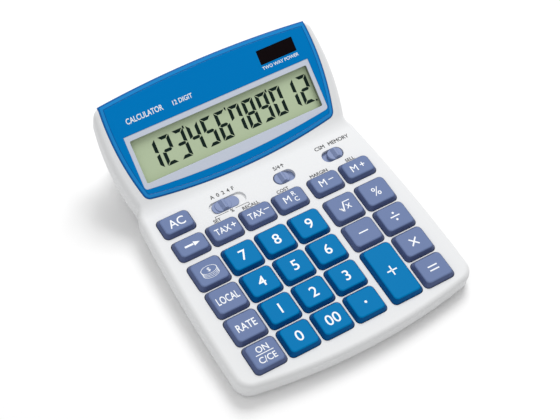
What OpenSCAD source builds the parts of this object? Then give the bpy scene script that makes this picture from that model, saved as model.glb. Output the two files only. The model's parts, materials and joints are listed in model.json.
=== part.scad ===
// Twelve-digit desk calculator: a gently sloping keypad and a raised display head in one white
// housing, with push keys on a rubber mat, three slide switches, and a button cell underneath.
// +X is to the right, +Y to the rear, +Z up, and the origin is under the middle, on the desk.
// Keypad places are (x, distance from the front rim, height above the keypad's face), and head
// places are (x, distance up the face from the crease, height above the face).

/* [Housing] */
// Greatest width of the housing, near the front
case_w = 145.2; // [125:0.2:175]
// Length of the keypad, from the front rim to the crease where the head rises
keypad_len = 120.8; // [102:0.2:146]
// Length of the display head, up its face
head_len = 64.4; // [54:0.2:76]
// Height of the front rim above the desk
front_h = 12; // [11.8:0.1:16]
// Slope of the keypad, in degrees
slope = 2; // [1:0.5:4]
// Angle between the keypad's face and the head's face, in degrees
head_tilt = 32; // [28:1:36]
// Thickness of the housing's walls
wall = 2.4; // [2:0.1:3]
// Thickness of the keypad's face
plate_t = 2; // [1.6:0.1:2.4]
// Thickness of the head's face
head_plate_t = 3; // [2.6:0.1:3.4]
// Depth of the upper housing's wall around the keypad
keypad_wall = 9; // [7.6:0.1:9.6]
// Depth of the upper housing's wall around the head
head_wall = 8; // [6.8:0.1:9]
// Depth of the lower housing under the head, from the head's face
head_depth = 12; // [11.6:0.1:14]
// Gap between the lower housing's rim and the wall around it
case_gap = 0.3; // [0.2:0.05:0.6]
// Thickness of the lower housing's walls
lower_wall = 1.8; // [1.5:0.1:2.2]
// Inset of the stand under the head, from the head's sides
stand_inset = 17; // [14:0.5:22]
// Distance from the housing's rear to the back of the stand
stand_back = 4; // [3:0.5:8]

/* [Outline curves] */
// Distance of the widest place from the front rim
widest = 22; // [16:1:30]
// Radius of the keypad's long sides
side_r = 946; // [700:1:1600]
// Radius of the front rim
front_r = 356; // [280:1:600]
// Radius of the front corners
corner_r = 9; // [7:0.5:12]
// Greatest width of the head
head_w = 139.6; // [120:0.2:168]
// Distance of the head's widest place from its top rim
head_widest = 28.4; // [20:0.2:34]
// Radius of the head's sides
head_side_r = 125; // [110:1:300]
// Radius of the head's top rim
head_top_r = 560; // [400:5:1200]
// Radius of the head's top corners
head_corner_r = 5; // [4:0.5:8]

/* [Keys] */
// Gap between keys in a row
key_gap = 1.5; // [1.2:0.1:2.4]
// Gap between rows of keys
row_gap = 1.2; // [1.2:0.1:2]
// Extra gap between the number block and the two right-hand columns
group_gap = 2.3; // [1.5:0.1:3.5]
// Distance from the outer keys to the widest part of the housing
side_margin = 10.7; // [10.6:0.1:14]
// Distance from the front rim to the first row of keys
front_margin = 10.6; // [10:0.1:14]
// Depth of the strip for the switches, from the rear row of keys to the crease
switch_strip = 23.5; // [22:0.1:30]
// Front-to-rear size of the low keys of the two rear rows
low_key_h = 12.6; // [10.5:0.1:13]
// Height of a key above the keypad's face
key_rise = 3; // [2.2:0.1:4]
// Radius of a key's corners
key_r = 2.6; // [1.5:0.1:4]
// Clearance between a key and its hole, on each side
key_clear = 0.2; // [0.15:0.05:0.3]
// Width of the flange that holds a key under the face
flange = 0.45; // [0.4:0.05:0.5]
// Travel of a key
key_travel = 1.8; // [1.2:0.1:2]

/* [Display] */
// Thickness of the lens
lens_t = 2; // [1.6:0.1:2.2]
// Depth of the lens's seat in the head's face
lens_seat = 1.6; // [1.2:0.1:1.8]
// Width of the head's face left showing beside the lens
lens_side_margin = 4.8; // [4:0.1:7]
// Clearance around the lens and the display frame
lens_clear = 0.15; // [0.1:0.05:0.3]
// Width of the ledge between the lens's side and the display frame
frame_margin = 7; // [6.5:0.1:10]
// Distance from the crease to the display frame's lower edge
frame_bottom = 7.1; // [6:0.1:9]
// Thickness of the display frame
frame_t = 2.5; // [2:0.1:3]
// Width of the display frame around its window
frame_rim = 2.6; // [1.8:0.1:3]
// Thickness of the liquid crystal panel
panel_t = 2.7; // [2:0.1:2.8]
// Width of the solar cell
solar_w = 23.1; // [18:0.1:30]
// Height of the solar cell
solar_h = 8.2; // [6:0.1:8.4]

/* [Inside and underneath] */
// Thickness of the circuit board
board_t = 1.4; // [1:0.1:1.6]
// Thickness of the rubber mat's sheet
mat_t = 1; // [0.8:0.1:1.2]
// Height of the mat's domes
dome_h = 2.4; // [2.2:0.1:2.8]
// Diameter of the button cell
cell_d = 11.6; // [9.5:0.1:14]
// Thickness of the button cell
cell_t = 5.4; // [3.6:0.1:6.5]
// Clearance around the button cell
cell_clear = 0.3; // [0.2:0.05:0.5]
// Travel of the battery cover
cover_travel = 4; // [3:0.1:5]
// Clearance around the battery cover
cover_clear = 0.3; // [0.2:0.05:0.4]
// Diameter of the rubber feet
foot_d = 9; // [7:0.5:11]
// Height of the housing's underside above the desk
floor_z = 1; // [0.6:0.1:1.4]

/* [Hidden] */
$fn = 48;
arc_steps = 8;
far = 200;
tiny = 0.05;

half_w = case_w / 2;
head_half = head_w / 2;
rear_lip = 1;
tilt = slope + head_tilt;
depth = keypad_len * cos(slope) + head_len * cos(tilt) + rear_lip;
front_y = -depth / 2;
rear_y = depth / 2;
rear_r = head_top_r / cos(tilt);

// Columns and rows of keys
pitch = (half_w - side_margin - group_gap / 2 + key_gap / 2) / 3;
row_pitch = (keypad_len - switch_strip - low_key_h / 2 - front_margin + row_gap / 2) / 4.5;
key_w = pitch - key_gap;
key_h = row_pitch - row_gap;
first_row = front_margin + key_h / 2;
switch_row = keypad_len - 14.2;
function col_x(c) = (c - 2.5) * pitch + (c > 3 ? group_gap : -group_gap) / 2;
function row_v(r) = r == 0 ? switch_row : first_row + (5 - r) * row_pitch;

// Heights above the keypad's face, from the top down
key_shoulder = key_rise - 1.2;
flange_top = -plate_t - 0.1;
flange_t = 0.9;
dome_top = flange_top - flange_t - 0.6;
mat_top = dome_top - dome_h;
board_top = mat_top - mat_t;
board_bottom = board_top - board_t;

// Keys: name, column, row, colour
blue = "#0079B8";
slate = "#7B88A8";
KEYS = [
    ["key_all_clear", 0, 0, slate],
    ["key_shift_right", 0, 1, slate],
    ["key_tax_plus", 1, 1, slate],
    ["key_tax_minus", 2, 1, slate],
    ["key_memory_recall", 3, 1, slate],
    ["key_memory_minus", 4, 1, slate],
    ["key_memory_plus", 5, 1, slate],
    ["key_currency", 0, 2, slate],
    ["key_7", 1, 2, blue],
    ["key_8", 2, 2, blue],
    ["key_9", 3, 2, blue],
    ["key_root", 4, 2, slate],
    ["key_percent", 5, 2, slate],
    ["key_local", 0, 3, slate],
    ["key_4", 1, 3, blue],
    ["key_5", 2, 3, blue],
    ["key_6", 3, 3, blue],
    ["key_minus", 4, 3, slate],
    ["key_divide", 5, 3, slate],
    ["key_rate", 0, 4, slate],
    ["key_1", 1, 4, blue],
    ["key_2", 2, 4, blue],
    ["key_3", 3, 4, blue],
    ["key_plus", 4, 4.5, blue],
    ["key_multiply", 5, 4, slate],
    ["key_on_clear", 0, 5, slate],
    ["key_0", 1, 5, blue],
    ["key_00", 2, 5, blue],
    ["key_point", 3, 5, blue],
    ["key_equals", 5, 5, slate]
];
function key_size(k) = k[2] < 2 ? low_key_h : k[2] == 4.5 ? row_pitch + key_h : key_h;

// Switches: name, place of the slot, its length, place and length of the knob, least and
// greatest travel, place of the ridge on the knob
slot_row = switch_row - 0.9;
decimal_x = (col_x(1) + col_x(2)) / 2 + 0.35;
rounding_x = col_x(3) + 5.45;
memory_x = col_x(5) - 6.4;
slot_h = 7.4;
SWITCHES = [
    ["decimal_switch", decimal_x, 22, decimal_x - 1.35, 16, -1.2, 4, -1.1],
    ["rounding_switch", rounding_x, 13, rounding_x - 1.5, 8.8, 0, 3, 0.4],
    ["memory_switch", memory_x, 13, memory_x + 1.5, 8.8, -3, 0, 0.4]
];
ridge_t = 1.4;
ridge_h = 1.8;
shutter_t = 1;
carrier_bottom = board_top + 1.2;
recess = 1.2;

// Screws: the case is held by pairs at the front, the neck and the head
screw_r = 1;
pilot_r = 0.85;
boss_r = 2.6;
lower_boss_r = 3.4;
counterbore_r = 2.5;
seat_t = 1.6;
joint_w = -7.45;
joint_n = -7.1;
neck_half = half_w - side_r + sqrt(side_r * side_r - pow(keypad_len - widest, 2));
KEYPAD_SCREWS = [[half_w - 6.7, 15], [neck_half - 6.4, keypad_len - 3.8]];
head_screw = [head_half - 9.3, head_len - 19];
BOARD_SCREWS = [col_x(1) - 6.1, -1, col_x(4) - 1.9, col_x(5) + 6.8];
board_end = keypad_len - 7.8;
ribbon_w = 30;

// Display, measured up the head's face
lens_bottom = 0.6;
lens_top = head_len - 1;
lens_half = head_half - lens_side_margin;
frame_half = lens_half - frame_margin;
solar_x = 42.3 * lens_half / 65;
solar_v = head_len - 13.5;
solar_t = 1.1;
frame_top = head_len - 24;
panel_top = -lens_seat - tiny - frame_t - tiny;
panel_bottom = panel_top - panel_t;
clamp_t = 1.2;
clamp_x = frame_half + 2.8;
clamp_low = frame_bottom + 8.6;
CLAMP_SCREWS = [[clamp_x, clamp_low + 4], [clamp_x, frame_top - 3]];

// Battery bay, under the head
cell_r = cell_d / 2;
cell_x = -28;
cell_y = rear_y - 32;
cover_t = 1.4;
bay_t = 3.2;
cell_z = floor_z + cover_t + 0.5;
cover_w = cell_d + 8.4;
cover_l = cell_d + 12.4;
rail = 0.9;
rail_t = 0.6;
FEET = [
    [half_w - 15, front_y + 17],
    [head_half - stand_inset - 8, rear_y - 12]
];
foot_seat = 0.4;

// ---- places ----

module on_keypad() {
    translate([0, front_y, front_h]) rotate([slope, 0, 0]) children();
}

module on_head() {
    on_keypad() translate([0, keypad_len, 0]) rotate([head_tilt, 0, 0]) children();
}

module both_sides() {
    children();
    mirror([1, 0, 0]) children();
}

// Height of the underside, measured from the keypad's face at distance v from the front rim
function floor_w(v) = -(front_h + v * sin(slope) - floor_z) / cos(slope);

// ---- outlines ----

function arc(c, r, a0, a1) = [
    for (i = [0:arc_steps])
        let (a = a0 + (a1 - a0) * i / arc_steps) [c[0] + r * cos(a), c[1] + r * sin(a)]
];

function angle_of(p, c) = atan2(p[1] - c[1], p[0] - c[0]);

// The right-hand meeting point of two circles
function circles_meet(c0, r0, c1, r1, side) =
    let (
        d = norm(c1 - c0),
        a = (r0 * r0 - r1 * r1 + d * d) / (2 * d),
        h = sqrt(r0 * r0 - a * a),
        u = (c1 - c0) / d
    )
    c0 + a * u + side * h * [-u[1], u[0]];

function mirrored(points) = [
    for (i = [len(points) - 1:-1:0]) if (points[i][0] > 0.001) [-points[i][0], points[i][1]]
];

// A plate with bowed sides and a bowed near end whose middle is at the origin. The far end is
// straight at length l, or bowed to radius far_r with its middle there.
function bowed_plate(half, wide_at, side, near, corner, l, far_r, inset) =
    let (
        near_c = [0, near],
        side_c = [half - side, wide_at],
        corner_c = circles_meet(near_c, near - corner, side_c, side - corner, 1),
        near_a = angle_of(corner_c, near_c),
        side_a = angle_of(corner_c, side_c),
        end = far_r == 0
            ? [side_c[0] + sqrt(pow(side - inset, 2) - pow(l - wide_at, 2)), l]
            : circles_meet(side_c, side - inset, [0, l - far_r], far_r - inset, 1),
        right = concat(
            arc(near_c, near - inset, -90, near_a),
            arc(corner_c, corner - inset, near_a, side_a),
            arc(side_c, side - inset, side_a, angle_of(end, side_c)),
            far_r == 0 ? [] : arc([0, l - far_r], far_r - inset, angle_of(end, [0, l - far_r]), 90)
        )
    )
    concat(right, mirrored(right));

function flipped(points, l) = [for (i = [len(points) - 1:-1:0]) [points[i][0], l - points[i][1]]];

function keypad_outline(inset, l) =
    bowed_plate(half_w, widest, side_r, front_r, corner_r, l, 0, inset);

// The head's outline runs down from its top rim to distance low from the crease
function head_outline(inset, low) = flipped(
    bowed_plate(head_half, head_widest, head_side_r, head_top_r, head_corner_r,
        head_len - low, 0, inset),
    head_len
);

function lens_outline(inset) = [
    for (p = bowed_plate(lens_half, lens_top * 0.7, 140, 350, 4.5, lens_top - lens_bottom,
        660, inset)) [p[0], p[1] + lens_bottom]
];

function frame_outline(inset) = [
    for (p = bowed_plate(frame_half, 10, 2000, 480, 2, frame_top - frame_bottom - inset, 0, inset))
        [p[0], p[1] + frame_bottom]
];

function round_box(w, h, r) = concat(
    arc([w / 2 - r, h / 2 - r], r, 0, 90),
    arc([r - w / 2, h / 2 - r], r, 90, 180),
    arc([r - w / 2, r - h / 2], r, 180, 270),
    arc([w / 2 - r, r - h / 2], r, 270, 360)
);

module slab(points, low, high) {
    translate([0, 0, low]) linear_extrude(high - low) polygon(points);
}

// A strip of thickness t on the left of a path of (distance, height) points, w wide across X
function left_of(path, i) =
    let (
        d = path[min(i + 1, len(path) - 1)] - path[max(i - 1, 0)]
    )
    [-d[1], d[0]] / norm(d);

module strip(path, t, w) {
    back = [for (i = [len(path) - 1:-1:0]) path[i] + t * left_of(path, i)];
    rotate([90, 0, 90]) translate([0, 0, -w / 2]) linear_extrude(w) polygon(concat(path, back));
}

module screw(head_r, head_h, r, l) {
    difference() {
        union() {
            translate([0, 0, -head_h]) cylinder(h = head_h, r = head_r);
            cylinder(h = l, r = r);
        }
        for (a = [0, 90]) rotate([0, 0, a])
            translate([-head_r * 0.65, -head_r * 0.12, -head_h - tiny])
                cube([head_r * 1.3, head_r * 0.24, head_h * 0.6]);
    }
}

// Everything behind the rear wall, whose plan follows the bow of the head's top rim
module beyond(inset) {
    c = [0, rear_y - rear_r];
    slab(concat([[-far, 2 * far]], [[far, 2 * far]], arc(c, rear_r - inset, 72, 108)), -far, far);
}

// ---- housing ----

module upper_shell(inset, keypad_top, head_top, keypad_low, head_low) {
    difference() {
        union() {
            on_keypad() slab(keypad_outline(inset, keypad_len + 5), keypad_low, keypad_top);
            on_head() slab(head_outline(inset, 0), head_low, head_top);
        }
        beyond(inset);
    }
}

module key_hole(k) {
    translate([col_x(k[1]), row_v(k[2])])
        slab(round_box(key_w + 2 * key_clear, key_size(k) + 2 * key_clear, key_r + key_clear),
            -plate_t - 1, 1);
}

module switch_slots() {
    s = SWITCHES[0];
    translate([s[1], slot_row]) slab(round_box(s[2], slot_h, slot_h / 2 - 0.01), -recess, 1);
    translate([s[3] + (s[5] + s[6]) / 2, slot_row])
        slab(round_box(s[6] - s[5] + 5.2, 3.4, 0.5), -plate_t - 1, 1);
    for (i = [1, 2])
        translate([SWITCHES[i][1], slot_row])
            slab(round_box(SWITCHES[i][2], slot_h, slot_h / 2 - 0.01), -plate_t - 1, 1);
}

module boss_down(top, bottom, r, hole_r) {
    difference() {
        translate([0, 0, bottom]) cylinder(h = top - bottom, r = r);
        translate([0, 0, bottom - 1]) cylinder(h = top - bottom + 0.6, r = hole_r);
    }
}

module upper_case() {
    color("#EDEEF0") {
        difference() {
            upper_shell(0, 0, 0, -keypad_wall, -head_wall);
            upper_shell(wall, -plate_t, -head_plate_t, -2 * keypad_wall, -2 * head_wall);
            on_keypad() {
                for (k = KEYS) key_hole(k);
                switch_slots();
            }
            on_head() {
                slab(lens_outline(-lens_clear), -lens_seat, 1);
                slab(frame_outline(-lens_clear), -head_plate_t - 1, 1);
                translate([solar_x, solar_v])
                    slab(round_box(solar_w + 1.6, solar_h + 1.6, 0.5), -head_plate_t - 1, 1);
            }
        }
        both_sides() {
            on_keypad() for (p = KEYPAD_SCREWS)
                translate(p) boss_down(tiny - plate_t, joint_w, boss_r, pilot_r);
            on_head() translate(head_screw)
                boss_down(tiny - head_plate_t, joint_n, boss_r, pilot_r);
            on_head() for (p = CLAMP_SCREWS)
                translate(p) boss_down(tiny - head_plate_t, panel_bottom, 2, 0.6);
        }
        on_keypad() for (x = BOARD_SCREWS)
            translate([x, switch_row]) boss_down(tiny - plate_t, board_top, 2.2, 0.6);
    }
}

// The lower housing's outside, or its hollow when inset by its wall as well
module lower_body(inset, skin, top_w, top_n) {
    lift = floor_z + skin;
    sink = inset + skin;
    stand = head_half - stand_inset - skin;
    stand_top = head_depth - skin - 1;
    neck_y = front_y + keypad_len - 8;
    head_y = front_y + keypad_len * cos(slope) + stand_top * sin(tilt);
    head_z = front_h + keypad_len * sin(slope) - stand_top * cos(tilt);
    stand_rear = rear_y - sink - stand_back;
    difference() {
        union() {
            on_keypad() slab(keypad_outline(sink, keypad_len - skin), floor_w(far), top_w);
            on_head() slab(head_outline(sink, -6 - skin), skin - head_depth, top_n);
            rotate([90, 0, 90]) translate([0, 0, -stand]) linear_extrude(2 * stand) polygon([
                [neck_y, lift],
                [stand_rear, lift],
                [stand_rear, head_z + (stand_rear - head_y) * tan(tilt)],
                [head_y, head_z],
                [neck_y, head_z]
            ]);
        }
        beyond(sink);
        translate([-far, -far, lift - 2 * far]) cube([2 * far, 2 * far, 2 * far]);
    }
}

module battery_bay() {
    translate([cell_x - cover_w / 2 - 3, cell_y - cover_l / 2 - 3, floor_z])
        cube([cover_w + 6, cover_l + cover_travel + 6, bay_t]);
    translate([cell_x, cell_y, floor_z]) cylinder(h = cell_t + cover_t + 0.5, r = cell_r + 1.8);
}

module battery_bay_cuts() {
    w = cover_w + 2 * cover_clear;
    l = cover_l + cover_travel + 2 * cover_clear;
    y = cell_y - cover_l / 2 - cover_clear;
    translate([cell_x - w / 2, y, floor_z - 1]) cube([w, l, cover_t + 1.2]);
    translate([cell_x - w / 2 - rail, y, floor_z + cover_t - rail_t - 0.2])
        cube([w + 2 * rail, l, rail_t + 0.4]);
    translate([cell_x, cell_y, floor_z]) cylinder(h = 2 * cell_t, r = cell_r + cell_clear);
    translate([cell_x, cell_y - 2.5, cell_z + 0.6]) cube([cell_r + 4, 5, cell_t + 1]);
}

module lower_case() {
    color("#E4E6E9") difference() {
        union() {
            difference() {
                lower_body(wall + case_gap, 0, 3 - keypad_wall, 3 - head_wall);
                lower_body(wall + case_gap, lower_wall, 1, 1);
            }
            both_sides() {
                on_keypad() for (p = KEYPAD_SCREWS) translate([p[0], p[1], floor_w(p[1]) + tiny])
                    cylinder(h = joint_w - floor_w(p[1]) - tiny, r = lower_boss_r);
                on_head() translate([head_screw[0], head_screw[1], -head_depth])
                    cylinder(h = joint_n + head_depth, r = lower_boss_r);
            }
            on_keypad() for (x = [-pitch * 2, 0, pitch * 2])
                translate([x - 0.6, 18, floor_w(18) + 1])
                    cube([1.2, board_end - 30, board_bottom - tiny - floor_w(18) - 1]);
            battery_bay();
        }
        both_sides() {
            on_keypad() for (p = KEYPAD_SCREWS) translate([p[0], p[1], floor_w(p[1]) - 1]) {
                cylinder(h = far, r = screw_r + 0.2);
                cylinder(h = joint_w - seat_t - floor_w(p[1]) + 1, r = counterbore_r);
            }
            on_head() translate([head_screw[0], head_screw[1], -head_depth - 1]) {
                cylinder(h = far, r = screw_r + 0.2);
                cylinder(h = joint_n - seat_t + head_depth + 1, r = counterbore_r);
            }
            for (p = FEET) translate([p[0], p[1], floor_z - 1])
                cylinder(h = 1 + foot_seat, r = foot_d / 2 + 0.2);
        }
        battery_bay_cuts();
    }
}

module case_screws() {
    color("#B8BCC2") both_sides() {
        on_keypad() for (p = KEYPAD_SCREWS) translate([p[0], p[1], joint_w - seat_t])
            screw(2.1, 1.2, screw_r, 5.2);
        on_head() translate([head_screw[0], head_screw[1], joint_n - seat_t])
            screw(2.1, 1.2, screw_r, 5.2);
    }
}

module rubber_feet() {
    color("#3A3C40") both_sides() for (p = FEET)
        translate([p[0], p[1], 0]) cylinder(h = floor_z + foot_seat, r = foot_d / 2);
}

// ---- display ----

module display_lens() {
    color("#0078BE") on_head() slab(lens_outline(0), -lens_seat, lens_t - lens_seat);
}

module lcd_frame() {
    w = 2 * (frame_half - frame_rim);
    low = frame_bottom + 6.4;
    high = frame_top - frame_rim - 0.5;
    color("#C3CAE1") on_head() difference() {
        slab(frame_outline(0), -lens_seat - tiny - frame_t, -lens_seat - tiny);
        translate([0, (low + high) / 2]) slab(round_box(w, high - low, 0.5), -far, far);
    }
}

module lcd_panel() {
    color("#B5C796") on_head() translate([-frame_half + 0.6, frame_bottom + 4, panel_bottom])
        cube([2 * frame_half - 1.2, frame_top - frame_bottom - 5, panel_t]);
}

module lcd_clamp() {
    color("#D9DBDD") on_head() difference() {
        translate([-clamp_x - 2, clamp_low, panel_bottom - clamp_t])
            cube([2 * clamp_x + 4, frame_top - clamp_low, clamp_t]);
        both_sides() for (p = CLAMP_SCREWS)
            translate([p[0], p[1], panel_bottom - clamp_t - 1]) cylinder(h = clamp_t + 2, r = 0.9);
    }
}

// A place on the head's face as (distance, height) on the keypad
function from_head(v, n) = [
    keypad_len + v * cos(head_tilt) - n * sin(head_tilt),
    v * sin(head_tilt) + n * cos(head_tilt)
];

module lcd_ribbon() {
    t = 0.25;
    color("#B98A4A") on_keypad() strip([
        [board_end - 3.5, board_top],
        [board_end - 1, board_top],
        from_head(frame_bottom + 3.2, panel_bottom - t / cos(head_tilt)),
        from_head(frame_bottom + 8, panel_bottom - t / cos(head_tilt))
    ], t, ribbon_w);
}

module solar_cell() {
    color("#120A0C") on_head() translate([solar_x, solar_v, -lens_seat - solar_t])
        slab(round_box(solar_w + 1.2, solar_h + 1.2, 0.3), 0, solar_t);
}

module solar_leads() {
    lead = 0.7;
    low = panel_bottom - clamp_t - lead - 0.15;
    end = -lens_seat - solar_t - lead - tiny;
    color("#C23A32") on_keypad() for (x = [0, 3]) translate([solar_x - x, 0, 0]) strip([
        [board_end - 5, board_top],
        [board_end - 1, board_top],
        from_head(frame_bottom + 2, low + 1.5),
        from_head(clamp_low - 2, low),
        from_head(frame_top + 2, low),
        from_head(solar_v - 4, end - 1),
        from_head(solar_v - 2.5, end),
        from_head(solar_v, end)
    ], lead, lead);
}

// ---- keypad ----

module key_cap(k) {
    w = key_w;
    h = key_size(k);
    color(k[3]) on_keypad() translate([col_x(k[1]), row_v(k[2])]) {
        difference() {
            union() {
                slab(round_box(w + 2 * flange, h + 2 * flange, key_r + flange),
                    flange_top - flange_t, flange_top);
                slab(round_box(w, h, key_r), flange_top - flange_t, key_shoulder);
                slab(round_box(w - 2, h - 2, key_r - 0.6), key_shoulder - tiny, key_rise);
            }
            slab(round_box(w - 3.6, h - 3.6, 1), flange_top - flange_t - 1, key_shoulder - 0.2);
        }
        translate([0, 0, dome_top]) cylinder(h = key_shoulder - dome_top, r = 2.4);
    }
}

module keypad_mat() {
    dome_low = 3.6;
    dome_high = 2.6;
    edge = 2.5 * pitch + group_gap / 2 + key_w / 2 + 0.3;
    rear = row_v(1) + low_key_h / 2 + 1.5;
    color("#9FA3A8") on_keypad() {
        translate([-edge, front_margin - 0.2, board_top])
            cube([2 * edge, rear - front_margin + 0.2, mat_t]);
        translate([-edge, rear - 1, board_top])
            cube([key_w + 0.6, switch_row + low_key_h / 2 - rear + 1, mat_t]);
        for (k = KEYS) translate([col_x(k[1]), row_v(k[2]), mat_top - tiny])
            cylinder(h = dome_h + tiny, r1 = dome_low, r2 = dome_high);
    }
}

module main_board() {
    side = 2.5 * pitch + group_gap / 2 + key_w / 2 - 0.2;
    color("#8A6B3A") on_keypad() difference() {
        intersection() {
            slab(keypad_outline(wall + case_gap + lower_wall + 0.7, keypad_len), board_bottom,
                board_top);
            translate([-side, 0, -far]) cube([2 * side, board_end, 2 * far]);
        }
        for (x = BOARD_SCREWS) translate([x, switch_row, board_bottom - 1])
            cylinder(h = board_t + 2, r = 0.9);
    }
}

module chip_blob() {
    color("#17181A") on_keypad() translate([col_x(4), row_v(2), board_bottom - 0.9])
        cylinder(h = 0.9, r1 = 4, r2 = 6);
}

module board_screws() {
    color("#B8BCC2") {
        on_keypad() for (x = BOARD_SCREWS) translate([x, switch_row, board_bottom])
            screw(1.6, 0.8, 0.75, 4.5);
        both_sides() on_head() for (p = CLAMP_SCREWS)
            translate([p[0], p[1], panel_bottom - clamp_t]) screw(1.6, 0.8, 0.75, 4.2);
    }
}

// ---- switches ----

module switch_knob(i) {
    s = SWITCHES[i];
    sweep = s[6] - s[5];
    color(slate) on_keypad() translate([s[3], slot_row]) {
        translate([s[7], 0]) slab(round_box(ridge_t, slot_h - 1.6, ridge_t / 2 - tiny), 0, ridge_h);
        if (i == 0) {
            slab(round_box(s[4], slot_h - 0.6, slot_h / 2 - 0.35), tiny - recess, 0.2);
            translate([-1.8, -1.2, -plate_t - 0.2]) cube([3.6, 2.4, plate_t]);
            translate([-5, -3, carrier_bottom])
                cube([10, 6, flange_top - carrier_bottom]);
        } else {
            slab(round_box(s[4], slot_h - 0.8, slot_h / 2 - 0.45), flange_top - tiny, 0.2);
            translate([s[1] - s[3] - (s[5] + s[6]) / 2, 0])
                slab(round_box(s[2] + sweep + 2, slot_h + 2, 1), flange_top - shutter_t, flange_top);
            translate([-4, -3, carrier_bottom])
                cube([8, 6, flange_top - shutter_t - carrier_bottom + tiny]);
        }
    }
}

module switch_contact(i) {
    leaf_t = 0.3;
    color("#D8B45A") on_keypad() translate([SWITCHES[i][3], slot_row, carrier_bottom]) {
        translate([-3.5, -1.8, -leaf_t]) cube([7, 3.6, leaf_t]);
        for (x = [-3, 2.2]) translate([x, -1.5, board_top + tiny - carrier_bottom])
            cube([0.8, 3, carrier_bottom - board_top - leaf_t - tiny]);
    }
}

// ---- battery ----

module battery_cell() {
    color("#C9CCD0") translate([cell_x, cell_y, cell_z]) {
        cylinder(h = cell_t - 0.4, r = cell_r);
        translate([0, 0, cell_t - 0.4]) cylinder(h = 0.4, r = cell_r - 0.9);
    }
}

module battery_contact_minus() {
    color("#D8DADC") translate([cell_x, cell_y, cell_z + cell_t]) {
        translate([-cell_r - 4, -2, 0.05]) cube([cell_r + 7, 4, 0.3]);
        translate([-cell_r - 4, -2, -2]) cube([0.3, 4, 2.2]);
    }
}

module battery_contact_plus() {
    color("#D8DADC") translate([cell_x + cell_r + 0.05, cell_y - 2, cell_z + 0.8]) {
        cube([0.2, 4, cell_t]);
        translate([0, 0, cell_t - 0.3]) cube([4, 4, 0.3]);
    }
}

module battery_leads() {
    lead = 0.7;
    board_z = front_h + board_end * sin(slope) + board_top;
    color("#2E3034") for (end = [[-cell_r - 2, 0.35], [cell_r + 3, 0.8]])
        let (top = cell_z + cell_t + end[1])
        translate([cell_x + end[0], 0, 0]) strip([
        [front_y + board_end - 4, board_z - 0.1],
        [front_y + board_end - 1, board_z + 0.1],
        [front_y + board_end + 4, board_z + 2.2],
        [cell_y - 8, top + 2],
        [cell_y - 1, top],
        [cell_y + 1, top]
    ], lead, lead);
}

module battery_cover() {
    color("#E4E6E9") translate([cell_x - cover_w / 2, cell_y - cover_l / 2, floor_z]) {
        difference() {
            cube([cover_w, cover_l, cover_t]);
            for (y = [3:1.6:8]) translate([5, y, -tiny]) cube([cover_w - 10, 0.7, 0.4]);
        }
        translate([-rail, 1, cover_t - rail_t]) cube([cover_w + 2 * rail, cover_l - 2, rail_t]);
    }
}

upper_case();
lower_case();
display_lens();
lcd_frame();
lcd_panel();
lcd_clamp();
lcd_ribbon();
solar_cell();
solar_leads();
main_board();
chip_blob();
keypad_mat();
for (k = KEYS) key_cap(k);
for (i = [0:2]) {
    switch_knob(i);
    switch_contact(i);
}
battery_cell();
battery_contact_plus();
battery_contact_minus();
battery_leads();
battery_cover();
case_screws();
board_screws();
rubber_feet();
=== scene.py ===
import math
import bpy
from mathutils import Matrix, Vector
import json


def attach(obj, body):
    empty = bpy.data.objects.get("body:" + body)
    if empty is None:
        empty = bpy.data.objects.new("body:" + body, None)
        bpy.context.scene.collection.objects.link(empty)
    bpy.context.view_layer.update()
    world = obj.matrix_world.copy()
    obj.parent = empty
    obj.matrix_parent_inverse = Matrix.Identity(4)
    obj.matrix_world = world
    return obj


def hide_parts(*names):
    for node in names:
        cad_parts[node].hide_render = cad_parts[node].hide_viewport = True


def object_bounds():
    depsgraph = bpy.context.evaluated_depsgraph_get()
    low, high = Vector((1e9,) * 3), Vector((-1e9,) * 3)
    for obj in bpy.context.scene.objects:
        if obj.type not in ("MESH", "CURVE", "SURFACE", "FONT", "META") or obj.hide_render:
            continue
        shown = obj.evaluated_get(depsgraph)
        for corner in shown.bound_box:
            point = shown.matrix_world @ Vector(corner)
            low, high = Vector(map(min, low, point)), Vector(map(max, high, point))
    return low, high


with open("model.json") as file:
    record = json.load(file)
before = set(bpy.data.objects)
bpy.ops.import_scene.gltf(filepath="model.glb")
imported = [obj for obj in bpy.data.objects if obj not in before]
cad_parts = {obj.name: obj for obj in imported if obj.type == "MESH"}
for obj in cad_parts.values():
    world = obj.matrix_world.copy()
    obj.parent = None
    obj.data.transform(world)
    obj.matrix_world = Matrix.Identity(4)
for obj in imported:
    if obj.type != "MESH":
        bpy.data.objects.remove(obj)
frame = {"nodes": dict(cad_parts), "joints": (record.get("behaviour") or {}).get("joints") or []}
CAD_LO, CAD_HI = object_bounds()

# ---- the calculator's own dimensions, in millimetres ----
MM = 0.001
CASE_W = 145.2          # greatest width of the housing
KEYPAD_LEN = 120.8      # front rim to the crease where the head rises
HEAD_LEN = 64.4         # length of the head, up its face
FRONT_H = 12.0          # front rim above the desk
HEAD_TILT = math.radians(32)
WIDEST = 22.0           # the widest place, from the front rim
SIDE_R, FRONT_R, CORNER_R = 946.0, 356.0, 9.0
HEAD_W, HEAD_WIDEST = 139.6, 28.4
HEAD_SIDE_R, HEAD_TOP_R, HEAD_CORNER_R = 125.0, 560.0, 5.0
WALL = 2.4
PLATE_T, HEAD_PLATE_T = 2.0, 3.0
KEYPAD_WALL, HEAD_WALL = 9.0, 8.0
RIM_R = 3.0             # rounding of the housing's top rim
CREASE_R = 16.0         # rounding of the crease
KEY_RISE = 3.0
KEY_CLEAR = 0.2
SLOT_H = 7.4
LENS_SEAT, LENS_PROUD = 1.6, 0.4

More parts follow.
